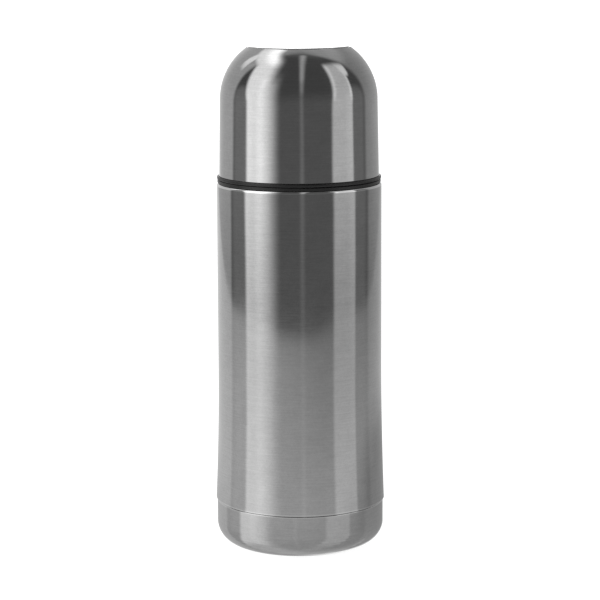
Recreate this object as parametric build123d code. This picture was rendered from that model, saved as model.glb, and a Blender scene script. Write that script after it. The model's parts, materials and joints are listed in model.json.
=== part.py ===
from build123d import *
import os
from math import cos, pi, radians, sin, tan

# Double-walled steel vacuum flask with a drinking cup and a push-button stopper.
# Millimetres. The origin is the centre of the foot, +Z is up the flask's own axis,
# and the release key of the stopper points along +X.

# ---------------------------------------------------------------- driving dimensions
HEIGHT = 207.5  # foot to the flat top of the cup
DATUM = 1.2  # the levels below are measured from a plane this far above the foot
TOP = HEIGHT - DATUM  # level of the flat top
BODY_R = 34.0  # straight part of the outer shell
FLARE_R = 35.35  # lower edge of the outer shell, which is swaged outward
FLARE_TOP = 75.0  # height where the flare begins
SEAM = 17.6  # lower edge of the outer shell
SEAM_GAP = 0.35
BASE_R = 34.95  # base cup
BASE_CORNER = 9.0
FOOT_INNER_R = 23.5
RECESS = 2.2  # depth of the recessed middle of the foot
STEEL = 0.5  # wall of every pressed steel piece
SHOULDER = 150.4  # flat top of the outer shell, where the collar sits
SHOULDER_CORNER = 1.0
MOUTH = 166.0  # rim of the neck
NECK_R = 25.6  # outside of the neck
VESSEL_R = 31.0  # outside of the inner vessel
VESSEL_FLOOR = 16.0
BORE_R = 24.1  # inside of the neck, at the root of its thread
SEAT_R = 22.3  # narrowest ring of the neck, which the stopper seals on

# Both threads have three starts and one lead, so the cup and the stopper climb alike.
LEAD = 12.0
STARTS = 3
THREAD_WIDE = 1.7  # axial width of a thread rib at its root
THREAD_NARROW = 0.9  # and at its crest

# Collar and cup
LIP_R = 33.75  # upper of the two black rings between the cup and the body
FLANGE_R = 33.6  # lower one
COLLAR_TOP = 151.85  # upper face of the collar's flange
PARTING = 0.15  # gap between the collar's flange and the cup's lip
CUP_EDGE = 153.35  # lower edge of the cup's steel shell
CUP_R = 32.95
CUP_DRAFT_R = 32.36  # radius where the straight side turns into the dome
DOME_START = 184.8
FLAT_R = 20.7  # flat top of the cup
FLAT_CORNER = 2.5  # rounding between the dome and the flat top
LINER_GAP = 0.3
LINER_WALL = 1.1
MALE_ROOT_R = 29.2
MALE_CREST_R = 30.5
FEMALE_CREST_R = 29.7

# Stopper
PLUG_R = 22.6
PLUG_CREST_R = 23.65
BORE_CREST_R = 23.05
PLUG_FLOOR = 147.0
TUBE_R = 11.0  # inside of the pouring tube
TUBE_WALL = 2.0
VALVE_OPENING_R = 9.6
DECK = 168.2  # top of the plug, under the cover
COVER_R = 25.2
COVER_TOP = 179.6
COVER_WALL = 1.6
BUTTON_R = 10.8
BUTTON_TOP = 183.4
BUTTON_SKIRT = 174.6
BUTTON_TRAVEL = 4.0
STEM_R = 2.45
HUB_TOP = 163.0
KEY_LEVEL = 172.0
KEY_THICK = 1.5
KEY_R = 14.7
KEY_TRAVEL = 1.2
CLEAR = 0.05  # between faces that meet in the closed flask


# ------------------------------------------------------------------------- helpers
def lathe(*corners):
    """Solid of revolution about Z from (radius, height) corners; a third number rounds a corner."""
    outline = make_face(Polyline(*[corner[:2] for corner in corners], close=True))
    for size in sorted({corner[2] for corner in corners if len(corner) > 2}):
        wanted = [Vector(*corner[:2]) for corner in corners if len(corner) > 2 and corner[2] == size]
        picked = [v for v in outline.vertices() if min((Vector(v) - w).length for w in wanted) < 1e-6]
        outline = fillet(picked, size)
    return revolve(Plane.XZ * outline, Axis.Z)


def ring(inner, outer, low, high, rounding=0.0):
    """Plain ring between two radii and two heights."""
    if rounding:
        return lathe(*[(r, z, rounding) for r, z in ((inner, low), (outer, low), (outer, high), (inner, high))])
    return lathe((inner, low), (outer, low), (outer, high), (inner, high))


def torus(centre_r, wire_r, height):
    """Ring of round section."""
    return revolve(Plane.XZ * Pos(centre_r, height) * Circle(wire_r), Axis.Z)


def around(piece, count, first=0.0):
    """Copies of a piece evenly spaced about Z."""
    return [Rot(0, 0, first + 360 * i / count) * piece for i in range(count)]


def thread(root_r, crest_r, low, turns, first=0.0):
    """Ribs of a multi-start right-hand thread; they point outward when crest_r is the larger."""
    rise = LEAD * turns
    sunk = 0.25 if crest_r > root_r else -0.25
    path = Helix(LEAD, rise, root_r, center=(0, 0, low))
    wide, narrow = THREAD_WIDE / 2, THREAD_NARROW / 2
    outline = Polyline(
        (root_r - sunk, 0, low - wide),
        (root_r, 0, low - wide),
        (crest_r, 0, low - narrow),
        (crest_r, 0, low + narrow),
        (root_r, 0, low + wide),
        (root_r - sunk, 0, low + wide),
        close=True,
    )
    rib = sweep(make_face(outline), path=path, is_frenet=True)
    return around(rib, STARTS, first)


def coil(mean_r, wire_r, low, high, turns):
    """Open-ended round-wire compression spring about Z, wire centre from low to high."""
    rise = high - low
    path = Helix(rise / turns, rise, mean_r, center=(0, 0, low))
    section = Plane(origin=path @ 0, z_dir=path % 0) * Circle(wire_r)
    return sweep(section, path=path, is_frenet=True)


# ---------------------------------------------------------------------- vacuum body
def body_form(inset, bottom):
    """The outer shell's envelope below its shoulder, brought in by inset."""
    side = Line((BODY_R - inset, SHOULDER - inset), (BODY_R - inset, FLARE_TOP))
    flare = TangentArc((BODY_R - inset, FLARE_TOP), (FLARE_R - inset, bottom), tangent=(0, -1))
    top = Line((0, SHOULDER - inset), (BODY_R - inset, SHOULDER - inset))
    axis = Line((0, SHOULDER - inset), (0, bottom))
    floor = Line((0, bottom), (FLARE_R - inset, bottom))
    outline = make_face(Curve() + [top, side, flare, floor, axis])
    corner = [v for v in outline.vertices() if (Vector(v) - (side @ 0)).length < 1e-6]
    return revolve(Plane.XZ * fillet(corner, SHOULDER_CORNER - inset), Axis.Z)


def outer_shell():
    """Tube with a swaged foot and a flat shoulder that turns up into the neck."""
    neck = ring(NECK_R - STEEL, NECK_R, SHOULDER - STEEL, MOUTH - 1.0)
    bead = torus(NECK_R - STEEL / 2 + 0.3, 0.45, SHOULDER - 0.05)
    shell = body_form(0, SEAM) - body_form(STEEL, SEAM)
    return shell - Pos(0, 0, SHOULDER) * Cylinder(NECK_R - STEEL / 2, 10) + neck + bead


def inner_vessel():
    """Bottle for the drink, with the stopper's seat and rolled thread in its neck."""
    wall = 0.4
    outline = lathe(
        (0, VESSEL_FLOOR),
        (VESSEL_R, VESSEL_FLOOR, 8.0),
        (VESSEL_R, 138.5, 6.0),
        (SEAT_R + wall, 146.6, 1.2),
        (SEAT_R + wall, 147.6, 1.0),
        (BORE_R + wall, 150.4, 1.0),
        (BORE_R + wall, MOUTH - 0.9, 0.3),
        (NECK_R, MOUTH - 0.9),
        (NECK_R, MOUTH, 0.4),
        (0, MOUTH),
    )
    hollow = lathe(
        (0, VESSEL_FLOOR + wall),
        (VESSEL_R - wall, VESSEL_FLOOR + wall, 8.0 - wall),
        (VESSEL_R - wall, 138.5 - wall / 2, 6.0),
        (SEAT_R, 146.6 - wall / 2, 1.2),
        (SEAT_R, 147.6 + wall / 2, 1.0),
        (BORE_R, 150.4 + wall / 2, 1.0),
        (BORE_R, MOUTH - 0.6, 0.5),
        (BORE_R + 0.7, MOUTH + 0.1),
        (0, MOUTH + 0.1),
    )
    return outline - hollow + thread(BORE_R, BORE_CREST_R, 154.0, 0.55)


def vacuum_base():
    """Disc that closes the vacuum, welded inside the swaged foot, with its evacuation hole."""
    skirt_r = BASE_R - STEEL - 0.1
    disc = lathe(
        (0, 10.6),
        (6.5, 10.6, 0.6),
        (7.5, 9.0, 0.6),
        (skirt_r, 9.0, 3.0),
        (skirt_r, 26.2),
        (skirt_r - STEEL, 26.2),
        (skirt_r - STEEL, 9.0 + STEEL, 2.5),
        (7.5 - STEEL / 4, 9.0 + STEEL, 0.4),
        (6.5 - STEEL / 4, 10.6 + STEEL, 0.4),
        (0, 10.6 + STEEL),
    )
    return disc - Pos(0, 0, 10.8) * Cylinder(1.2, 3)


def vacuum_seal():
    """Solder bead that plugs the evacuation hole."""
    return lathe((0, 9.5), (3.2, 9.5, 0.7), (4.6, 10.6 - CLEAR), (1.1, 10.6 - CLEAR), (1.1, 11.6), (0, 11.6))


def getter_clip():
    """Small spot-welded cage that holds the getter inside the vacuum."""
    foot = 9.0 + STEEL
    plate = Pos(17, 0, foot + 0.2) * Box(13, 5, 0.3)
    cage = Pos(17, 0, 0) * (ring(3.6, 4.0, foot + 0.35, foot + 2.4) - Pos(0, 0, foot + 2.4) * Box(9, 2.4, 1.6))
    return plate + cage


def getter_pellet():
    """Gas-absorbing pellet that keeps the vacuum."""
    return Pos(17, 0, 0) * lathe((0, 9.95), (3.4, 9.95, 0.4), (3.4, 12.2, 0.6), (0, 12.2))


def radiation_foil():
    """Metal foil wrapped round the inner vessel against radiated heat."""
    return ring(VESSEL_R + 0.1, VESSEL_R + 0.25, 26.0, 130.0)


def base_cup():
    """Visible pressed cap over the vacuum base, with a standing ring and a recessed middle."""
    top = SEAM - SEAM_GAP
    foot = -DATUM
    recess = foot + RECESS
    return lathe(
        (0, recess),
        (FOOT_INNER_R - 2.0, recess, 1.0),
        (FOOT_INNER_R, foot, 0.8),
        (BASE_R, foot, BASE_CORNER),
        (BASE_R, top, 0.24),
        (BASE_R - STEEL, top, 0.24),
        (BASE_R - STEEL, foot + STEEL, BASE_CORNER - STEEL),
        (FOOT_INNER_R + STEEL * 0.6, foot + STEEL, 0.4),
        (FOOT_INNER_R - 2.0 + STEEL * 0.6, recess + STEEL, 0.6),
        (0, recess + STEEL),
    )


def base_pad():
    """Soft pad that keeps the base cup from rattling on the vacuum base."""
    return ring(9.0, 20.0, RECESS - DATUM + STEEL + CLEAR, 9.0 - CLEAR, 0.5)


def neck_collar():
    """Plastic collar round the neck: its flange shows as a black ring, its thread holds the cup."""
    inner = NECK_R + 0.25
    collar = lathe(
        (inner + 0.5, SHOULDER + CLEAR),
        (27.0, SHOULDER + CLEAR),
        (27.0, SHOULDER + 1.05),
        (28.6, SHOULDER + 1.05),
        (28.6, SHOULDER + CLEAR),
        (FLANGE_R, SHOULDER + CLEAR, 0.25),
        (FLANGE_R, COLLAR_TOP, 0.35),
        (MALE_ROOT_R, COLLAR_TOP, 0.3),
        (MALE_ROOT_R, 163.8, 0.6),
        (inner, 163.8, 0.6),
        (inner, SHOULDER + 0.9),
    )
    return collar + thread(MALE_ROOT_R, MALE_CREST_R, 155.6, 0.5)


def collar_seal():
    """Silicone ring that beds the collar on the shoulder."""
    return ring(27.05, 28.55, SHOULDER + CLEAR, SHOULDER + 1.0, 0.25)


# ------------------------------------------------------------------------------ cup
def cup_form(inset, bottom):
    """The cup's domed envelope, brought in by inset."""
    slope = (CUP_R - CUP_DRAFT_R) / (DOME_START - CUP_EDGE)
    side = Line((CUP_R - inset - slope * (bottom - CUP_EDGE), bottom), (CUP_DRAFT_R - inset, DOME_START))
    dome = TangentArc(
        (CUP_DRAFT_R - inset, DOME_START), (FLAT_R - inset * 0.45, TOP - inset), tangent=(-slope, 1)
    )
    top = Line((FLAT_R - inset * 0.45, TOP - inset), (0, TOP - inset))
    axis = Line((0, TOP - inset), (0, bottom))
    floor = Line((0, bottom), side @ 0)
    outline = make_face(Curve() + [side, dome, top, axis, floor])
    corner = [v for v in outline.vertices() if (Vector(v) - (dome @ 1)).length < 1e-6]
    return revolve(Plane.XZ * fillet(corner, FLAT_CORNER - inset), Axis.Z)


def cup_shell():
    """Drawn steel cup with a rolled edge."""
    edge = torus(CUP_R - STEEL / 2, STEEL / 2, CUP_EDGE + STEEL / 2)
    return cup_form(0, CUP_EDGE + STEEL / 2) - cup_form(STEEL, CUP_EDGE + STEEL / 2) + edge


def cup_liner():
    """Plastic inner cup: drinking lip, seal groove and the thread that grips the collar."""
    low = COLLAR_TOP + PARTING
    outside = STEEL + LINER_GAP
    inside = outside + LINER_WALL
    lip_wall = CUP_R - inside
    lip = lathe(
        (lip_wall - 0.2, low, 0.4),
        (LIP_R, low, 0.35),
        (LIP_R, CUP_EDGE - CLEAR, 0.5),
        (CUP_R - outside - 0.1, CUP_EDGE - CLEAR),
        (CUP_R - outside - 0.1, CUP_EDGE + 2.0),
        (lip_wall - 0.2, CUP_EDGE + 2.0),
    )
    wall = cup_form(outside, CUP_EDGE + 1.0) - cup_form(inside, CUP_EDGE + 1.0)
    groove = ring(31.12, 34.0, 167.1, 168.3)
    return wall + lip - groove + thread(CUP_R - inside - 0.15, FEMALE_CREST_R, 155.6, 0.5, 180 / STARTS)


def cup_seal():
    """O-ring that keeps washing-up water out from between the shell and the liner."""
    return torus(31.56, 0.4, 167.7)


# -------------------------------------------------------------------------- stopper
def stopper_gasket():
    """Silicone seal near the foot of the plug, which meets the cone of the neck's seat."""
    return lathe(
        (20.65, 148.3),
        (22.4, 148.3, 0.3),
        (22.95, 149.1, 0.3),
        (22.95, 150.3, 0.3),
        (22.2, 150.9, 0.3),
        (20.65, 150.9),
    )


def stopper_body():
    """Threaded plug with the pouring tube and the hub that guides the valve stem."""
    shell = lathe(
        (VALVE_OPENING_R, PLUG_FLOOR, 0.4),
        (21.4, PLUG_FLOOR, 0.8),
        (21.4, 148.2),
        (20.6, 148.2),
        (20.6, 151.0),
        (PLUG_R, 151.0, 0.4),
        (PLUG_R, 166.2, 0.4),
        (COVER_R, 166.2, 0.5),
        (COVER_R, DECK),
        (22.0, DECK),
        (22.0, 167.0),
        (20.4, 167.0),
        (20.4, 151.9),
        (18.8, 151.9),
        (18.8, PLUG_FLOOR + 1.6, 0.6),
        (TUBE_R + TUBE_WALL, PLUG_FLOOR + 1.6, 0.6),
        (TUBE_R + TUBE_WALL, DECK, 0.4),
        (TUBE_R, DECK, 0.4),
        (TUBE_R, PLUG_FLOOR + 2.2, 1.2),
        (VALVE_OPENING_R, PLUG_FLOOR + 1.2),
    )
    hub = lathe(
        (STEM_R + 0.08, 153.0),
        (4.6, 153.0, 0.5),
        (4.6, HUB_TOP - 2.0, 0.8),
        (7.8, HUB_TOP - 1.2),
        (7.8, HUB_TOP, 0.3),
        (STEM_R + 0.08, HUB_TOP),
    )
    arm = Pos((4.4 + TUBE_R + 0.2) / 2, 0, 157.0) * Box(TUBE_R - 4.2, 1.6, 7.0)
    return shell + hub + around(arm, 3, 30) + thread(PLUG_R, PLUG_CREST_R, 154.0 + LEAD / STARTS / 2, 0.55)


def stopper_insulation():
    """Foam ring that fills the plug round the pouring tube."""
    tube = TUBE_R + TUBE_WALL + 0.15
    return lathe((tube, 148.9), (18.65, 148.9, 0.6), (18.65, 152.05), (20.25, 152.05), (20.25, 166.8), (tube, 166.8))


def stopper_deck():
    """Plate welded over the foam, with two locating pips for the cover."""
    plate = ring(TUBE_R + TUBE_WALL + CLEAR, 22.0 - CLEAR, 167.0 + CLEAR, DECK)
    pip = Pos(18.0, 0, DECK) * Cylinder(1.1, 1.6)
    return plate + around(pip, 2, 90)


def stopper_cover():
    """Grip and pouring head, with slots for the drink and a window for the release key."""
    shell = lathe(
        (COVER_R - COVER_WALL, DECK + CLEAR),
        (COVER_R, DECK + CLEAR),
        (COVER_R, COVER_TOP, 1.6),
        (21.6, COVER_TOP, 0.5),
        (20.6, COVER_TOP - 1.0, 0.5),
        (14.4, COVER_TOP - 1.0, 0.5),
        (13.4, COVER_TOP, 0.5),
        (BUTTON_R + 0.3, COVER_TOP, 0.4),
        (BUTTON_R + 0.3, KEY_LEVEL + KEY_THICK + 0.2),
        (BUTTON_R + 1.5, KEY_LEVEL + KEY_THICK + 0.2),
        (BUTTON_R + 1.5, COVER_TOP - 2.8),
        (COVER_R - COVER_WALL, COVER_TOP - 2.8, 0.8),
    )
    flute = Pos(COVER_R + 0.55, 0, 174.0) * Cylinder(1.0, 20.0)
    flutes = [Rot(0, 0, 15 + 10 * i) * flute for i in range(34)]
    centre_r = 17.5
    slot = extrude(Pos(0, 0, COVER_TOP - 4.0) * SlotArc(CenterArc((0, 0), centre_r, -17, 34), 3.4), 5.0)
    window = Pos(COVER_R - 1.0, 0, KEY_LEVEL + KEY_THICK / 2) * Box(6.0, 9.6, 4.6)
    rail = Pos(0, 15.6, 174.1) * Box(11.0, 1.4, 5.6) + Pos(0, 15.0, 171.55) * Box(11.0, 2.6, 0.6)
    rails = [rail, Rot(0, 0, 180) * rail]
    return shell - flutes - around(slot, 4, 45) - window + rails


def release_key():
    """Sliding latch plate round the button, with a thumb pad outside the cover."""
    hole = SlotCenterToCenter(KEY_TRAVEL + 0.2, 2 * (BUTTON_R + 0.4))
    plate = Circle(KEY_R) - Pos((KEY_TRAVEL + 0.2) / 2, 0) * hole
    tab = Pos(18.9, 0) * RectangleRounded(11.4, 7.0, 0.8)
    flat = extrude(Pos(0, 0, KEY_LEVEL + CLEAR) * (plate + tab), KEY_THICK - CLEAR)
    pad = fillet((Pos(25.3, 0, KEY_LEVEL + KEY_THICK / 2) * Box(2.2, 8.6, 3.8)).edges().filter_by(Axis.Z), 0.6)
    peg = Pos(-KEY_R - 0.7, 0, KEY_LEVEL + KEY_THICK / 2) * Rot(0, 90, 0) * Cylinder(0.55, 2.2)
    return flat + pad + peg


def key_spring():
    """Light spring that pushes the release key outward."""
    mean_r, wire_r = 1.15, 0.2
    start = KEY_R + wire_r + 0.1
    spring = coil(mean_r, wire_r, 0.0, COVER_R - COVER_WALL - wire_r - 0.15 - start, 6.0)
    return Pos(-start, 0, KEY_LEVEL + KEY_THICK / 2) * Rot(0, -90, 0) * spring


def pour_button():
    """Dished push button with the latch groove in its skirt and a socket for the stem."""
    skirt_r = BUTTON_R - 1.3
    cap = lathe(
        (0, BUTTON_TOP - 0.9),
        (5.0, BUTTON_TOP - 0.75, 2.0),
        (9.0, BUTTON_TOP, 0.8),
        (BUTTON_R, BUTTON_TOP, 0.9),
        (BUTTON_R, 177.6),
        (BUTTON_R - 0.5, 177.3),
        (BUTTON_R - 0.5, 176.2),
        (BUTTON_R, 175.9),
        (BUTTON_R, BUTTON_SKIRT, 0.3),
        (skirt_r, BUTTON_SKIRT, 0.3),
        (skirt_r, 181.3, 1.0),
        (4.2, 181.3, 0.4),
        (4.2, 173.2, 0.4),
        (STEM_R + 0.03, 173.2),
        (STEM_R + 0.03, 180.2),
        (0, 180.2),
    )
    return cap


def valve_stem():
    """Push rod from the button to the valve, with a shoulder above the disc."""
    return lathe(
        (0, 142.4),
        (STEM_R, 142.4, 0.5),
        (STEM_R, 147.0),
        (4.0, 147.0, 0.3),
        (4.0, 148.2, 0.3),
        (STEM_R, 148.2),
        (STEM_R, 180.1, 0.4),
        (0, 180.1),
    )


def valve_disc():
    """Silicone disc that closes the pouring tube from below."""
    return lathe(
        (STEM_R + 0.03, 145.2),
        (10.0, 145.2, 0.4),
        (11.6, 146.0, 0.3),
        (11.6, PLUG_FLOOR - CLEAR, 0.3),
        (STEM_R + 0.03, PLUG_FLOOR - CLEAR),
    )


def valve_retainer():
    """Push nut that holds the disc on the stem."""
    nut = lathe((STEM_R + 0.03, 143.6), (5.0, 143.6, 0.5), (8.0, 144.6, 0.3), (8.0, 145.15, 0.2), (STEM_R + 0.03, 145.15))
    slit = Pos(4.4, 0, 143.6) * Box(2.4, 1.0, 1.4)
    return nut - around(slit, 3)


def button_spring():
    """Compression spring between the hub and the button."""
    wire_r = 0.4
    return coil(6.2, wire_r, HUB_TOP + wire_r + CLEAR, 181.3 - wire_r - CLEAR, 7.0)


# ---------------------------------------------------------------------------- output
NODES = {
    "outer_shell": outer_shell,
    "inner_vessel": inner_vessel,
    "vacuum_base": vacuum_base,
    "vacuum_seal": vacuum_seal,
    "getter_clip": getter_clip,
    "getter_pellet": getter_pellet,
    "radiation_foil": radiation_foil,
    "base_cup": base_cup,
    "base_pad": base_pad,
    "neck_collar": neck_collar,
    "collar_seal": collar_seal,
    "cup_shell": cup_shell,
    "cup_liner": cup_liner,
    "cup_seal": cup_seal,
    "stopper_gasket": stopper_gasket,
    "stopper_body": stopper_body,
    "stopper_insulation": stopper_insulation,
    "stopper_deck": stopper_deck,
    "stopper_cover": stopper_cover,
    "release_key": release_key,
    "key_spring": key_spring,
    "pour_button": pour_button,
    "valve_stem": valve_stem,
    "valve_disc": valve_disc,
    "valve_retainer": valve_retainer,
    "button_spring": button_spring,
}

os.makedirs("parts", exist_ok=True)
for name, make in NODES.items():
    export_step(Pos(0, 0, DATUM) * make(), f"parts/{name}.step")
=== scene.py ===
import json
from math import atan2, cos, pi, radians, sin

import bmesh
import bpy
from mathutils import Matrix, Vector


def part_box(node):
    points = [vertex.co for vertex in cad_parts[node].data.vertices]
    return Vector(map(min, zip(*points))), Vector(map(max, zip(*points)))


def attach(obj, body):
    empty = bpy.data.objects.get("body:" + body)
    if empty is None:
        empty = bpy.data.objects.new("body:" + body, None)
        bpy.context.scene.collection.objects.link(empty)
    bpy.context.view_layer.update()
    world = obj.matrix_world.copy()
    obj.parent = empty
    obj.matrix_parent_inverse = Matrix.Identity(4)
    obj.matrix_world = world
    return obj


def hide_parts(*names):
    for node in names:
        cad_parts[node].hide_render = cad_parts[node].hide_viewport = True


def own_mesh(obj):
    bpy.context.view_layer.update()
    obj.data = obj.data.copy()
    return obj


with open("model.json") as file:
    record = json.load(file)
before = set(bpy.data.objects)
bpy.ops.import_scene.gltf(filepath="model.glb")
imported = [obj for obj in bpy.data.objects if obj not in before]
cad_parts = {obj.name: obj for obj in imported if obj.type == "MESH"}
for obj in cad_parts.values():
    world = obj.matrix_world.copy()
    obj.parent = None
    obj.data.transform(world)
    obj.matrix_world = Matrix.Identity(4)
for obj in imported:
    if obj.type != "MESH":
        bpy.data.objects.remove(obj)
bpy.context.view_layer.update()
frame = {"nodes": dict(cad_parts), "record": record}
nodes = frame["nodes"]
MM = 0.001

# Driving dimensions in millimetres, with levels above the foot; every other size comes from the frame
BODY_R = 34.0
SHEET = 0.5  # thickness of the steel
FLARE_TOP = 76.2  # the body is straight above this level
SHOULDER = 151.6
SHOULDER_CORNER = 1.0
NECK_R = 25.1  # inside of the outer tube's neck
BASE_CORNER = 9.0
BASE_LAP = 0.2  # the base cup reaches this far up behind the tube's edge
RECESS = 2.2  # height of the base cup's recessed middle
RECESS_R = 21.5
FOOT_RING_R = 23.5  # inner edge of the ring that the flask stands on
DOME_START = 186.0
DOME_START_R = 32.36
FLAT_R = 20.7  # flat top of the cup
FLAT_CORNER = 2.5

# Springs in metres: wire radius, free turns, and how far the joint shortens them
BUTTON_WIRE, BUTTON_TURNS, BUTTON_TRAVEL = 0.0004, 7.0, 0.004
KEY_WIRE, KEY_TURNS, KEY_TRAVEL = 0.0002, 6.0, 0.0012


# ---------------------------------------------------------------------- mesh helpers
def rounded(corners, steps=10):
    """Outline through (radius, height) corners, where a third number rounds the corner.

    Long runs get a point close to each end, so that smooth shading stays flat between them.
    """
    long_run, near_end = 0.6, 0.02
    out = []
    last = len(corners) - 1
    for i, corner in enumerate(corners):
        p = Vector(corner[:2])
        size = corner[2] if len(corner) > 2 else 0
        if not size or i in (0, last):
            out.append(p)
            continue
        a = (Vector(corners[i - 1][:2]) - p).normalized()
        b = (Vector(corners[i + 1][:2]) - p).normalized()
        half = a.angle(b) / 2
        reach = size / max(1e-9, sin(half) / cos(half))
        centre = p + (a + b).normalized() * (size / sin(half))
        start, end = p + a * reach - centre, p + b * reach - centre
        turn = atan2(start.x * end.y - start.y * end.x, start.dot(end))
        out += [centre + turned(start, turn * k / steps) for k in range(steps + 1)]
    dense = [out[0]]
    for a, b in zip(out, out[1:]):
        length = (b - a).length
        if length > long_run:
            dense += [a.lerp(b, near_end / length), a.lerp(b, 1 - near_end / length)]
        dense.append(b)
    return dense


def turned(v, angle):
    """A plane vector turned by an angle."""
    return Vector((v.x * cos(angle) - v.y * sin(angle), v.x * sin(angle) + v.y * cos(angle)))


def arc_from(start, tangent, end, steps=48):
    """Points of the arc that leaves start along tangent and reaches end."""
    s, e, t = Vector(start), Vector(end), Vector(tangent).normalized()
    n = Vector((-t.y, t.x))
    chord = e - s
    centre = s + n * (chord.length_squared / (2 * chord.dot(n)))
    a, b = s - centre, e - centre
    turn = atan2(a.x * b.y - a.y * b.x, a.dot(b))
    return [tuple(centre + turned(a, k * turn / steps)) for k in range(steps + 1)]


def mesh_object(name, verts, faces, material):
    """Smooth-shaded object made from points and faces."""
    mesh = bpy.data.meshes.new(name)
    mesh.from_pydata(verts, [], faces)
    mesh.materials.append(material)
    mesh.shade_smooth()
    mesh.update()
    piece = bpy.data.objects.new(name, mesh)
    bpy.context.scene.collection.objects.link(piece)
    return piece


def face_outward(piece):
    """Turns every face of a closed mesh to the outside."""
    work = bmesh.new()
    work.from_mesh(piece.data)
    bmesh.ops.recalc_face_normals(work, faces=work.faces)
    work.to_mesh(piece.data)
    work.free()


def lathe(name, outline, material, segments=256, closed=True):
    """Turned piece from a (radius, height) outline in millimetres.

    The two ends of an outline that isn't closed lie on the axis, or beside each other.
    """
    on_axis = 1e-4
    verts, rings = [], []
    for r, z in outline:
        if r < on_axis:
            rings.append([len(verts)] * segments)
            verts.append((0, 0, z * MM))
            continue
        rings.append(list(range(len(verts), len(verts) + segments)))
        for k in range(segments):
            a = 2 * pi * k / segments
            verts.append((r * cos(a) * MM, r * sin(a) * MM, z * MM))
    pairs = list(zip(rings, rings[1:]))
    if closed:
        pairs.append((rings[-1], rings[0]))
    faces = []
    for low, high in pairs:
        for k in range(segments):
            n = (k + 1) % segments
            face = list(dict.fromkeys((low[k], low[n], high[n], high[k])))
            if len(face) > 2:
                faces.append(face)
    piece = mesh_object(name, verts, faces, material)
    face_outward(piece)
    return piece


# ------------------------------------------------------------------------- materials
class Nodes:
    """Short-hand for building one material's node tree."""

    def __init__(self, name):
        self.material = bpy.data.materials.new(name)
        self.material.use_nodes = True
        self.tree = self.material.node_tree
        self.shader = self.tree.nodes["Principled BSDF"]
        self.place = self.add("ShaderNodeTexCoord").outputs["Object"]

    def add(self, kind, **values):
        node = self.tree.nodes.new(kind)
        for key, value in values.items():
            setattr(node, key, value)
        return node

    def link(self, a, b):
        self.tree.links.new(a, b)

    def stretched(self, stretch):
        """The object's own coordinates, scaled along each axis."""
        mapping = self.add("ShaderNodeMapping")
        mapping.inputs["Scale"].default_value = stretch
        self.link(self.place, mapping.inputs["Vector"])
        return mapping.outputs["Vector"]

    def noise(self, scale, detail=3.0, rough=0.55, stretch=(1, 1, 1)):
        """Noise over the object's own space; scale is per metre."""
        node = self.add("ShaderNodeTexNoise")
        node.inputs["Scale"].default_value = scale
        node.inputs["Detail"].default_value = detail
        node.inputs["Roughness"].default_value = rough
        self.link(self.stretched(stretch), node.inputs["Vector"])
        return node.outputs["Fac"]

    def cells(self, scale, feature="F1"):
        """Distance to the nearest cell point, or to the cell's edge; scale is per metre."""
        node = self.add("ShaderNodeTexVoronoi", feature=feature)
        node.inputs["Scale"].default_value = scale
        self.link(self.place, node.inputs["Vector"])
        return node.outputs["Distance"]

    def spread(self, value, low, high, start=0.3, end=0.7):
        """Maps a value's start..end onto low..high."""
        node = self.add("ShaderNodeMapRange")
        self.link(value, node.inputs["Value"])
        node.inputs["From Min"].default_value = start
        node.inputs["From Max"].default_value = end
        node.inputs["To Min"].default_value = low
        node.inputs["To Max"].default_value = high
        return node.outputs["Result"]

    def maths(self, operation, a, b=0.0):
        """One Math node; each input is a socket or a number."""
        node = self.add("ShaderNodeMath", operation=operation)
        for socket, value in zip(node.inputs, (a, b)):
            if isinstance(value, (int, float)):
                socket.default_value = value
            else:
                self.link(value, socket)
        return node.outputs["Value"]

    def tint(self, value, dark, light):
        """Base colour from dark at 0 to light at 1."""
        node = self.add("ShaderNodeMix", data_type="RGBA")
        self.link(value, node.inputs["Factor"])
        node.inputs["A"].default_value = (*dark, 1)
        node.inputs["B"].default_value = (*light, 1)
        self.link(node.outputs["Result"], self.shader.inputs["Base Color"])

    def rough(self, value, base, less, more):
        """Roughness round a base value, varied by a 0.3..0.7 pattern."""
        self.link(self.maths("ADD", self.spread(value, less, more), base), self.shader.inputs["Roughness"])

    def bump(self, height, distance, after=None):
        """Bump of a depth in metres, on top of an earlier one."""
        node = self.add("ShaderNodeBump")
        node.inputs["Distance"].default_value = distance
        self.link(height, node.inputs["Height"])
        if after:
            self.link(after, node.inputs["Normal"])
        self.link(node.outputs["Normal"], self.shader.inputs["Normal"])
        return node.outputs["Normal"]

    def set(self, **values):
        """Constants on the shader's own sockets."""
        for key, value in values.items():
            self.shader.inputs[key.replace("_", " ")].default_value = value


def grey(level):
    return (level, level, level)


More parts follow.
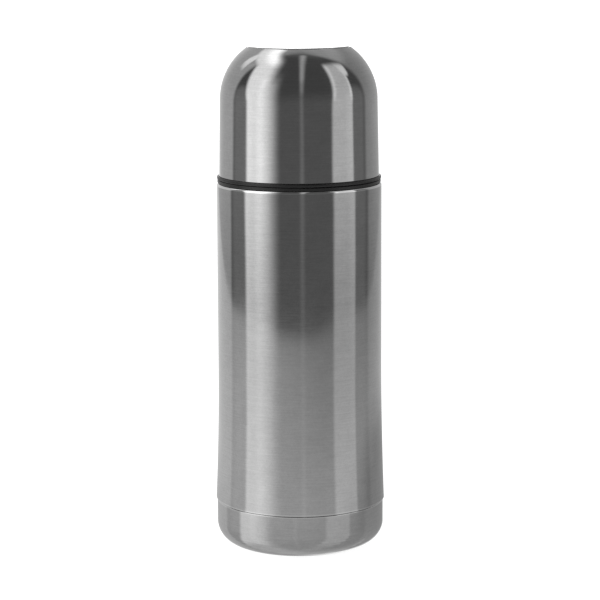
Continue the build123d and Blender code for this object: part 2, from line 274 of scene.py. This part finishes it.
def brushed_shell():
    """Steel sheet with short brush lines round the axis, faint clouding, and painted highlight lines along
    its pressed edges.
    """
    m = Nodes("brushed_shell")
    hair = m.noise(1.0, 2.0, 0.6, (160, 160, 6500))
    streak = m.noise(1.0, 3.0, 0.65, (90, 90, 1500))
    speck = m.noise(900.0, 2.0, 0.6)
    cloud = m.noise(150.0, 3.0, 0.6)
    lines = m.maths("ADD", m.maths("MULTIPLY", hair, 0.5), m.maths("MULTIPLY", streak, 0.5))
    tone = m.maths("ADD", m.spread(lines, -0.045, 0.045), m.spread(cloud, -0.02, 0.02))
    tone = m.maths("ADD", tone, m.spread(speck, -0.02, 0.02))
    tone = m.maths("ADD", tone, 0.58)
    # painted highlight: the base colour is lighter along the pressed edges below the collar and above the
    # seam, standing in for the light their rounding catches
    height = m.add("ShaderNodeSeparateXYZ")
    m.link(m.place, height.inputs["Vector"])
    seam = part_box("base_cup")[1].z / MM
    for level, painted_highlight in ((SHOULDER - 0.35, 0.37), (seam + 0.3, 0.14)):
        from_edge = m.maths("ABSOLUTE", m.maths("SUBTRACT", height.outputs["Z"], level * MM))
        tone = m.maths("ADD", tone, m.spread(from_edge, painted_highlight, 0, 0.6 * MM, 0.8 * MM))
    m.tint(tone, grey(0.0), grey(1.0))
    wear = m.maths("ADD", m.spread(lines, -0.01, 0.01), m.spread(cloud, -0.008, 0.01))
    m.link(m.maths("ADD", wear, 0.08), m.shader.inputs["Roughness"])
    # long shallow waves make the reflections waver, and the brush lines lie on them
    waves = m.noise(1.0, 1.0, 0.4, (120, 120, 20))
    m.bump(lines, 0.0000005, m.bump(waves, 0.00005))
    tangent = m.add("ShaderNodeTangent", direction_type="RADIAL", axis="Z")
    m.link(tangent.outputs["Tangent"], m.shader.inputs["Tangent"])
    m.set(Metallic=1.0, Anisotropic=0.25, Anisotropic_Rotation=0.25)
    return m.material


def vessel_steel():
    """Electropolished steel: bright, with a soft orange peel and the faint lines of rolling."""
    m = Nodes("vessel_steel")
    peel = m.noise(900.0, 2.0, 0.5)
    rolled = m.noise(1.0, 3.0, 0.6, (1500, 1500, 60))
    cloud = m.noise(45.0, 4.0, 0.6)
    m.tint(m.spread(cloud, 0, 1), (0.56, 0.55, 0.53), (0.64, 0.63, 0.61))
    m.rough(cloud, 0.2, -0.04, 0.07)
    m.bump(rolled, 0.000002, m.bump(peel, 0.000004))
    m.set(Metallic=1.0)
    return m.material


def solder():
    """Dull cast bead with pits and a frosted skin."""
    m = Nodes("solder")
    pits = m.cells(2600.0)
    frost = m.noise(1400.0, 4.0, 0.6)
    m.tint(m.spread(frost, 0, 1), (0.36, 0.36, 0.37), (0.52, 0.52, 0.54))
    m.rough(frost, 0.46, -0.08, 0.1)
    m.bump(frost, 0.00002, m.bump(pits, 0.00003))
    m.set(Metallic=1.0)
    return m.material


def getter():
    """Sintered dark pellet: packed grains."""
    m = Nodes("getter")
    grains = m.cells(3800.0)
    cloud = m.noise(700.0, 3.0)
    m.tint(m.spread(cloud, 0, 1), grey(0.05), (0.13, 0.13, 0.135))
    m.rough(cloud, 0.7, -0.1, 0.1)
    m.bump(grains, 0.00005)
    m.set(Metallic=0.5)
    return m.material


def foil():
    """Thin aluminium foil with sharp creases and soft dents."""
    m = Nodes("foil")
    creases = m.cells(170.0, "DISTANCE_TO_EDGE")
    dents = m.noise(120.0, 3.0)
    m.tint(m.spread(dents, 0, 1), (0.74, 0.74, 0.75), (0.84, 0.84, 0.85))
    m.rough(dents, 0.2, -0.06, 0.08)
    m.bump(m.spread(creases, 0, 1, 0.0, 0.08), 0.00006, m.bump(dents, 0.0004))
    m.set(Metallic=1.0)
    return m.material


def foam():
    """Closed-cell foam: small round cells with thin walls."""
    m = Nodes("foam")
    large = m.cells(1300.0)
    small = m.cells(3400.0)
    cloud = m.noise(160.0, 3.0)
    m.tint(m.spread(cloud, 0, 1), (0.62, 0.59, 0.5), (0.76, 0.73, 0.65))
    m.rough(cloud, 0.88, -0.05, 0.05)
    m.bump(small, 0.00008, m.bump(large, 0.0002))
    m.set(Specular_IOR_Level=0.25, Sheen_Weight=0.1)
    return m.material


def moulded(name, dark, light, rough, grain=0.00002):
    """Moulded plastic with a faint spark-eroded grain; gives its nodes, for more settings."""
    m = Nodes(name)
    cloud = m.noise(60.0, 3.0, 0.5)
    m.tint(m.spread(cloud, 0, 1), dark, light)
    m.rough(cloud, rough, -0.04, 0.05)
    m.bump(m.noise(3200.0, 3.0, 0.6), grain)
    return m


def natural_plastic():
    """Uncoloured polypropylene, waxy and slightly see-through."""
    m = moulded("natural_plastic", (0.66, 0.65, 0.6), (0.76, 0.75, 0.71), 0.36, 0.000012)
    m.set(Subsurface_Weight=0.5, Subsurface_Radius=(0.004, 0.0035, 0.003), Subsurface_Scale=0.5)
    return m.material


def silicone():
    """Grey silicone rubber: a dusty bloom over a soft, slightly see-through body."""
    m = Nodes("silicone")
    bloom = m.noise(420.0, 5.0, 0.65)
    m.tint(m.spread(bloom, 0, 1), (0.3, 0.3, 0.29), (0.4, 0.4, 0.39))
    m.rough(bloom, 0.5, -0.08, 0.1)
    m.bump(m.noise(2400.0, 3.0, 0.6), 0.00001)
    m.set(Subsurface_Weight=0.3, Subsurface_Radius=(0.002, 0.002, 0.002), Subsurface_Scale=0.5)
    m.set(Sheen_Weight=0.15)
    return m.material


def spring_steel():
    """Drawn wire with die lines along it and a light oil film."""
    m = Nodes("spring_steel")
    die = m.noise(1.0, 3.0, 0.6, (900, 900, 5200))
    film = m.noise(500.0, 3.0)
    m.tint(m.spread(film, 0, 1), (0.46, 0.455, 0.45), (0.6, 0.6, 0.6))
    m.rough(film, 0.24, -0.06, 0.08)
    m.bump(die, 0.000004)
    m.set(Metallic=1.0)
    return m.material


# One material for each material slot of the record
FINISH = {
    "brushed_shell": brushed_shell(),
    "vessel_steel": vessel_steel(),
    "solder": solder(),
    "getter": getter(),
    "foil": foil(),
    "foam": foam(),
    "black_plastic": moulded("black_plastic", grey(0.011), grey(0.018), 0.36).material,
    "grey_plastic": moulded("grey_plastic", (0.16, 0.165, 0.17), (0.2, 0.205, 0.21), 0.42).material,
    "natural_plastic": natural_plastic(),
    "silicone": silicone(),
    "spring_steel": spring_steel(),
}


# --------------------------------------------------------------------------- pieces
def outline_shell():
    """Outer tube from its neck over the shoulder to the flared foot, and back inside."""
    low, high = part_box("outer_shell")
    seam, neck_top, foot_r = low.z / MM, high.z / MM, high.x / MM
    neck_out = NECK_R + SHEET
    neck_corner, edge_corner = 0.6, 0.22
    outer = arc_from((BODY_R, FLARE_TOP), (0, -1), (foot_r, seam))
    inner = [(r - SHEET, z) for r, z in outer]
    return rounded(
        [
            (NECK_R, SHOULDER - SHEET), (NECK_R, neck_top), (neck_out, neck_top),
            (neck_out, SHOULDER, neck_corner), (BODY_R, SHOULDER, SHOULDER_CORNER), (BODY_R, FLARE_TOP),
        ]
        + outer[1:-1]
        + [(foot_r, seam, edge_corner), (foot_r - SHEET, seam, edge_corner)]
        + inner[-2:0:-1]
        + [(BODY_R - SHEET, FLARE_TOP), (BODY_R - SHEET, SHOULDER - SHEET, SHOULDER_CORNER - SHEET)]
    )


def outline_base():
    """Rounded cap with a recessed middle inside its foot ring."""
    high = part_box("base_cup")[1]
    r, top = high.x / MM, high.z / MM + BASE_LAP
    inward = 0.3  # the inside of the slope between recess and foot ring lies this far out
    return rounded([
        (0, RECESS), (RECESS_R, RECESS, 1.0), (FOOT_RING_R, 0, 0.8), (r, 0, BASE_CORNER), (r, top, 0.3),
        (r - SHEET, top, 0.18), (r - SHEET, SHEET, BASE_CORNER - SHEET), (FOOT_RING_R + inward, SHEET, 0.4),
        (RECESS_R + inward, RECESS + SHEET, 0.6), (0, RECESS + SHEET),
    ], 14)


def outline_cup():
    """Domed cup: flat top, long arc, slightly tapered skirt, and back inside."""
    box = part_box("cup_shell")
    rim_r, low, top = box[1].x / MM, box[0].z / MM, box[1].z / MM
    slope = (rim_r - DOME_START_R) / (DOME_START - low)
    flat_in = FLAT_R - 0.22
    rim_corner, rim_gap = 0.2, 0.01
    outside = arc_from((DOME_START_R, DOME_START), (-slope, 1), (FLAT_R, top))
    inside = arc_from((DOME_START_R - SHEET, DOME_START), (-slope, 1), (flat_in, top - SHEET))
    outer = (
        [(rim_r - SHEET / 2, low), (rim_r, low, rim_corner), (DOME_START_R, DOME_START)]
        + outside[1:-1] + [(FLAT_R, top, FLAT_CORNER), (0, top)]
    )
    inner = (
        [(0, top - SHEET), (flat_in, top - SHEET, FLAT_CORNER - SHEET)] + inside[-2:0:-1]
        + [(DOME_START_R - SHEET, DOME_START), (rim_r - SHEET, low, rim_corner)]
        + [(rim_r - SHEET / 2 - rim_gap, low)]
    )
    return rounded(outer) + rounded(inner)


def steel_piece(name, node, body, outline, closed):
    """One outer steel part, standing for its CAD node."""
    piece = lathe(name, outline, FINISH["brushed_shell"], closed=closed)
    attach(piece, body)
    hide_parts(node)


def spring(name, node, wire_r, turns, along):
    """Compression spring in its node's box, with closed end coils."""
    low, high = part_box(node)
    across = 1 if along == 0 else 0
    mean_r = (high[across] - low[across]) / 2 - wire_r
    start, length = low[along] + wire_r, high[along] - low[along] - 2 * wire_r
    middle = (low + high) / 2
    dead = 0.75  # turns at each end that lie flat
    flat = wire_r  # how far such an end rises
    steps, sides = 48, 12  # points to a turn, and round the wire
    count = int(steps * (turns + 2 * dead))
    verts, faces = [], []
    for i in range(count + 1):
        t = i / steps
        lift = min(max((t - dead) / turns, 0), 1)
        if t < dead:
            rise = flat * (t / dead)
        elif t > turns + dead:
            rise = length - flat * (1 - (t - turns - dead) / dead)
        else:
            rise = flat + (length - 2 * flat) * lift
        a = 2 * pi * t
        for k in range(sides):
            b = 2 * pi * k / sides
            r = mean_r + wire_r * cos(b)
            u, v, w = r * cos(a), r * sin(a), rise + wire_r * sin(b)
            verts.append(Vector((w, u, v) if along == 0 else (u, v, w)))
    for v in verts:
        for axis in range(3):
            v[axis] += start if axis == along else middle[axis]
    for i in range(count):
        for k in range(sides):
            n = (k + 1) % sides
            faces.append((i * sides + k, i * sides + n, (i + 1) * sides + n, (i + 1) * sides + k))
    faces += [tuple(range(sides)), tuple(range(count * sides, (count + 1) * sides))]
    piece = mesh_object(name, verts, faces, FINISH["spring_steel"])
    face_outward(piece)
    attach(piece, "stopper")
    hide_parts(node)
    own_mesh(piece)


steel_piece("body_shell", "outer_shell", "flask", outline_shell(), True)
steel_piece("base_cap", "base_cup", "flask", outline_base(), False)
steel_piece("cup_dome", "cup_shell", "cup", outline_cup(), False)

spring(
    "button_coil", "button_spring", BUTTON_WIRE, BUTTON_TURNS, 2,
)
spring(
    "key_coil", "key_spring", KEY_WIRE, KEY_TURNS, 0,
)

# every CAD part that stays in view, and every replaced one, gets its slot's finish
for part in frame["record"]["subparts"]:
    slots = nodes[part["node"]].data.materials
    slots.clear()
    slots.append(FINISH[part["material_slot"]])


# ---------------------------------------------------------------------------- stage
# Metres from the flask to the reflected table's front edge and sides, and the softness of its edge
TABLE_FRONT = 0.52
TABLE_SIDE = 0.6
TABLE_SOFT = 0.05
SHADE_X, SHADE_Y = 0.09, 0.1  # middle of the painted shadow that the flask casts on the reflected table


def flat_sheet(name, left, right, front, back, level, material):
    """Level rectangle of the stage, in metres."""
    corners = [(left, front, level), (right, front, level), (right, back, level), (left, back, level)]
    sheet = mesh_object(name, corners, [(0, 1, 2, 3)], material)
    return sheet


def floor():
    """Plain white floor, which the steel doesn't reflect."""
    material = bpy.data.materials.new("floor")
    material.use_nodes = True
    shader = material.node_tree.nodes["Principled BSDF"]
    shader.inputs["Base Color"].default_value = (0.8, 0.8, 0.8, 1)
    shader.inputs["Roughness"].default_value = 0.9
    shader.inputs["Specular IOR Level"].default_value = 0.0
    shader.inputs["Emission Color"].default_value = (1, 1, 1, 1)
    shader.inputs["Emission Strength"].default_value = 0.85
    far = 40
    flat_sheet("floor", -far, far, -far, far, 0, material).visible_glossy = False


def table_sheen():
    """The table as the steel reflects it: a soft-edged sheet that ends a little way in front.

    Reflected rays see a faint painted glow of the lit table over a dimmed view of the lights. The glow is
    brighter at the left, where the key light falls, and darker in a painted shadow beside the flask.
    """
    material = bpy.data.materials.new("table_sheen")
    material.use_nodes = True
    tree = material.node_tree
    tree.nodes.clear()

    def node(kind, **values):
        made = tree.nodes.new(kind)
        for key, value in values.items():
            setattr(made, key, value)
        return made

    def maths(operation, a, b=0.0):
        made = node("ShaderNodeMath", operation=operation)
        for socket, value in zip(made.inputs, (a, b)):
            if isinstance(value, (int, float)):
                socket.default_value = value
            else:
                tree.links.new(value, socket)
        return made.outputs["Value"]

    def smooth(value, start, end, low, high):
        made = node("ShaderNodeMapRange", interpolation_type="SMOOTHSTEP")
        tree.links.new(value, made.inputs["Value"])
        for socket, number in zip(("From Min", "From Max", "To Min", "To Max"), (start, end, low, high)):
            made.inputs[socket].default_value = number
        return made.outputs["Result"]

    def length(a, b):
        return maths("SQRT", maths("ADD", maths("MULTIPLY", a, a), maths("MULTIPLY", b, b)))

    place = node("ShaderNodeSeparateXYZ")
    tree.links.new(node("ShaderNodeTexCoord").outputs["Object"], place.inputs["Vector"])
    x, y = place.outputs["X"], place.outputs["Y"]
    # 1 at the table's edge, which is half an oval in front and runs straight back behind
    reach = length(maths("DIVIDE", x, TABLE_SIDE), maths("DIVIDE", maths("MINIMUM", y, 0.0), TABLE_FRONT))
    here = smooth(reach, 1 - TABLE_SOFT, 1 + TABLE_SOFT, 1.0, 0.0)
    # painted shadow of the flask, darker beside it at the right, and a painted glow that is brighter at the
    # left and fades towards the table's edge
    from_shade = length(maths("SUBTRACT", x, SHADE_X), maths("SUBTRACT", y, SHADE_Y))
    glow = maths("ADD", smooth(x, -0.4, 0.4, 0.42, 0.27), smooth(from_shade, 0.06, 0.24, -0.2, 0.0))
    glow = maths("ADD", glow, smooth(reach, 0.2, 1.0, 0.03, -0.1))
    emit = node("ShaderNodeEmission")
    tree.links.new(glow, emit.inputs["Strength"])
    through = node("ShaderNodeBsdfTransparent")
    through.inputs["Color"].default_value = (*grey(0.76), 1)
    both = node("ShaderNodeAddShader")
    tree.links.new(emit.outputs["Emission"], both.inputs[0])
    tree.links.new(through.outputs["BSDF"], both.inputs[1])
    clear = node("ShaderNodeBsdfTransparent")
    mix = node("ShaderNodeMixShader")
    tree.links.new(here, mix.inputs["Fac"])
    tree.links.new(clear.outputs["BSDF"], mix.inputs[1])
    tree.links.new(both.outputs["Shader"], mix.inputs[2])
    tree.links.new(mix.outputs["Shader"], node("ShaderNodeOutputMaterial").inputs["Surface"])
    below_floor = -0.5 * MM
    sheet = flat_sheet("table_sheen", -1.0, 1.0, -1.0, 6.0, below_floor, material)
    for kind in ("camera", "diffuse", "transmission", "shadow", "volume_scatter"):
        setattr(sheet, "visible_" + kind, False)


# ---------------------------------------------------------------------------- light
UP, DOWN = (0, 0, 1), (0, 0, -1)
LEFT, RIGHT = (-1, 0, 0), (1, 0, 0)
FRONT, BACK = (0, -1, 0), (0, 1, 0)
TABLE_DIP = 0.24  # sine of the angle below the horizon at which only the base cup looks down


def toward(azimuth, elevation):
    """Direction in degrees: azimuth from the front (-Y) towards +X, elevation from the horizon."""
    a, e = radians(azimuth), radians(elevation)
    return Vector((sin(a) * cos(e), -cos(a) * cos(e), sin(e)))


class Studio:
    """World shader: a grey room with soft-edged light panels, each placed by its directions.

    A direction is a pair of degrees, as toward() takes it. A level or a softness is the cosine of the
    angle to a plane's normal. The camera itself sees plain white.
    """

    def __init__(self):
        world = bpy.data.worlds.new("studio")
        bpy.context.scene.world = world
        world.use_nodes = True
        self.tree = world.node_tree
        self.tree.nodes.clear()
        self.way = self.node("ShaderNodeTexCoord").outputs["Generated"]
        # the base cup shows the lights a little further left than the body does
        turn = self.node("ShaderNodeVectorRotate", rotation_type="Z_AXIS")
        self.plug(self.way, turn.inputs["Vector"])
        self.plug(self.times(self.side(DOWN, 0.02, TABLE_DIP), radians(12)), turn.inputs["Angle"])
        self.way = turn.outputs["Vector"]

    def node(self, kind, **values):
        node = self.tree.nodes.new(kind)
        for key, value in values.items():
            setattr(node, key, value)
        return node

    def plug(self, value, socket):
        """Sets a socket to a number, or links it to another socket."""
        if isinstance(value, (int, float)):
            socket.default_value = value
        else:
            self.tree.links.new(value, socket)

    def fold(self, operation, values):
        """One Math operation over any number of values."""
        total = values[0]
        for value in values[1:]:
            node = self.node("ShaderNodeMath", operation=operation)
            self.plug(total, node.inputs[0])
            self.plug(value, node.inputs[1])
            total = node.outputs["Value"]
        return total

    def add(self, *values):
        return self.fold("ADD", values)

    def times(self, *values):
        return self.fold("MULTIPLY", values)

    def most(self, *values):
        return self.fold("MAXIMUM", values)

    def lerp(self, factor, a, b):
        node = self.node("ShaderNodeMix", data_type="FLOAT")
        self.plug(factor, node.inputs["Factor"])
        self.plug(a, node.inputs["A"])
        self.plug(b, node.inputs["B"])
        return node.outputs["Result"]

    def along(self, normal):
        """Cosine of the angle between the direction and a normal."""
        dot = self.node("ShaderNodeVectorMath", operation="DOT_PRODUCT")
        self.tree.links.new(self.way, dot.inputs[0])
        dot.inputs[1].default_value = normal
        return dot.outputs["Value"]

    def side(self, normal, soft, shift=0.0):
        """1 where the direction lies on the normal's side of a plane, 0 on the other."""
        ramp = self.node("ShaderNodeMapRange", interpolation_type="SMOOTHSTEP")
        self.plug(self.along(normal), ramp.inputs["Value"])
        ramp.inputs["From Min"].default_value = shift - soft
        ramp.inputs["From Max"].default_value = shift + soft
        return ramp.outputs["Result"]

    def band(self, normal, middle, half):
        """Soft band either side of a plane, brightest along its middle."""
        soft = half / 2
        start = self.side(normal, soft, middle - soft)
        end = self.side(-Vector(normal), soft, -middle - soft)
        return self.times(start, end)

    def edge(self, start, end, inside, soft, shift=0.0):
        """Soft edge along the great circle through two directions: 1 on the inside's side of it."""
        normal = toward(*start).cross(toward(*end)).normalized()
        if normal.dot(toward(*inside)) < 0:
            normal = -normal
        return self.side(normal, soft, shift)

    def finish(self, light):
        """The light for every ray but the camera's, which see white."""
        seen = self.node("ShaderNodeBackground")
        room = self.node("ShaderNodeBackground")
        self.plug(light, room.inputs["Strength"])
        path = self.node("ShaderNodeLightPath")
        mix = self.node("ShaderNodeMixShader")
        out = self.node("ShaderNodeOutputWorld")
        seen.inputs["Color"].default_value = room.inputs["Color"].default_value = (1, 1, 1, 1)
        self.tree.links.new(path.outputs["Is Camera Ray"], mix.inputs["Fac"])
        self.tree.links.new(room.outputs["Background"], mix.inputs[1])
        self.tree.links.new(seen.outputs["Background"], mix.inputs[2])
        self.tree.links.new(mix.outputs["Shader"], out.inputs["Surface"])


def key_light(s):
    """Large softbox at the left, brightest overhead, with a thin second edge beside it."""
    inner = s.edge((-40, 0), (-45, 60), (-80, 0), 0.26)
    lean = s.most(s.edge((-33, 0), (-64, 68), (-90, 0), 0.16), s.side(DOWN, 0.25, -0.62))
    outer = s.most(
        s.edge((-80.5, 0), (-94.5, 40), (-50, 0), 0.06),
        s.edge((-80.5, 0), (-80.5, 40), (-50, 0), 0.06),
        s.times(s.edge((-69, 0), (-103, -45), (-50, 0), 0.06), s.side(DOWN, 0.05, TABLE_DIP)),
    )
    top = s.side(DOWN, 0.035, -sin(radians(72.5)))
    high = s.times(s.edge((-142, 0), (-148, 60), (-90, 0), 0.08), s.side(UP, 0.06, sin(radians(46))))
    arc = s.times(
        s.edge((-114, 0), (-117, 40), (-150, 0), 0.03),
        s.edge((-128, 0), (-132, 40), (-90, 0), 0.05),
        s.side(UP, 0.15, sin(radians(28))),
        0.9,
    )
    hot = s.times(s.band(toward(32, 0), 0, 0.16), s.side(DOWN, 0.15, -0.6), 0.16)
    crown = s.times(s.side(UP, 0.06, sin(radians(59))), 0.65)
    return s.times(s.add(1.06, hot, crown), inner, lean, top, s.most(outer, high, arc))


def strip_light(s):
    """Tall strip softbox at the right with brighter edges. Its upper part stands further out."""
    inner = s.edge((50, 0), (60, 50), (80, 0), 0.05)
    outer = s.edge((85, 0), (88, 30), (50, 0), 0.035)
    upper = s.times(s.edge((90, 20), (101, 43), (50, 0), 0.04), s.side(UP, 0.04, sin(radians(32))))
    top = s.edge((72, 58), (94, 51), (90, 0), 0.09)
    low = s.lerp(s.side(DOWN, 0.03, TABLE_DIP), 1.0, 0.75)
    outer_rim = s.edge((86, 0), (92, 35), (170, 0), 0.04, -0.1)
    inner_rim = s.edge((50, 0), (60, 50), (0, 0), 0.04, -0.08)
    rims = s.times(s.add(outer_rim, inner_rim), s.side(UP, 0.12, 0.05), 0.26)
    return s.times(s.add(0.51, rims), inner, s.most(outer, upper), top, low)


def walls(s):
    """Pale walls behind, brighter towards the middle and up at the right."""
    low = s.side(DOWN, 0.12, -0.96)
    behind = s.side(BACK, 0.05, 0.05)
    depth = s.most(s.along(BACK), 0.0)
    glow = s.times(depth, depth)
    deep = s.times(glow, glow, glow, glow)
    left_edge = s.edge((-109, 0), (-102, 40), (-150, 0), 0.06)
    left = s.times(left_edge, s.side(LEFT, 0.02), s.add(0.37, s.times(deep, 0.3)))
    corner = s.times(s.side(UP, 0.12, 0.7), 0.18)
    sink = s.lerp(s.side(DOWN, 0.12, 0.25), 1.0, 0.6)
    right_edge = s.edge((111, 0), (105, 45), (150, 0), 0.08)
    right = s.times(right_edge, s.side(RIGHT, 0.02), s.add(0.15, corner, s.times(glow, 0.21)), sink)
    ceiling = s.times(s.side(UP, 0.06, 0.93), s.side(BACK, 0.25, 0.1), 0.2)
    return s.add(s.times(s.add(left, right), behind, low), ceiling)


def centre_strip(s):
    """Faint lit gap straight in front, brighter higher up."""
    upper = s.times(s.side(UP, 0.15, 0.3), 0.12)
    topmost = s.times(s.side(UP, 0.12, 0.62), 0.15)
    return s.times(s.band(RIGHT, 0.077, 0.09), s.side(FRONT, 0.02), s.add(0.09, upper, topmost))


def gaps(s):
    """Dim room at both sides, between the softboxes and the walls."""
    left = s.times(s.side(LEFT, 0.025, 0.955), 0.1)
    right = s.times(s.side(RIGHT, 0.025, 0.955), 0.07)
    return s.times(s.add(left, right), s.side(DOWN, 0.13, -0.945))


def backdrop(s):
    """Lit screen straight behind, seen by the flat top of the cup."""
    low = s.side(DOWN, 0.02, -sin(radians(10)))
    return s.times(s.band(RIGHT, 0, 0.2), s.side(BACK, 0.02, 0.5), low, 2.6)


def light_studio():
    """All the lights together, dimmer below the horizon, in a faintly lit room."""
    s = Studio()
    lights = s.add(s.most(key_light(s), strip_light(s), walls(s)), centre_strip(s), gaps(s), backdrop(s))
    dim = s.lerp(s.side(DOWN, 0.07, 0.14), 1.0, 0.5)
    dimmer = s.lerp(s.side(DOWN, 0.12, 0.72), 1.0, 0.4)
    room = s.add(0.075, s.times(s.side(DOWN, 0.25, -0.15), 0.045))
    s.finish(s.add(room, s.times(lights, dim, dimmer)))


# --------------------------------------------------------------------------- camera
def camera():
    """Camera at the photograph's viewing angle, a little above the flask and looking slightly down."""
    scene = bpy.context.scene
    data = bpy.data.cameras.new("camera")
    data.sensor_width = 36.0
    data.lens = 133.1
    view = bpy.data.objects.new("camera", data)
    scene.collection.objects.link(view)
    distance, height = 0.908, 0.2597
    look_down, roll, pan = 9.84, 0.26, -0.055
    view.location = (0.0, -distance, height)
    view.rotation_mode = "XYZ"
    view.rotation_euler = (radians(90 - look_down), radians(roll), radians(pan))
    scene.camera = view
    scene.view_settings.view_transform = "Standard"
    scene.view_settings.look = "None"


floor()
table_sheen()
light_studio()
camera()
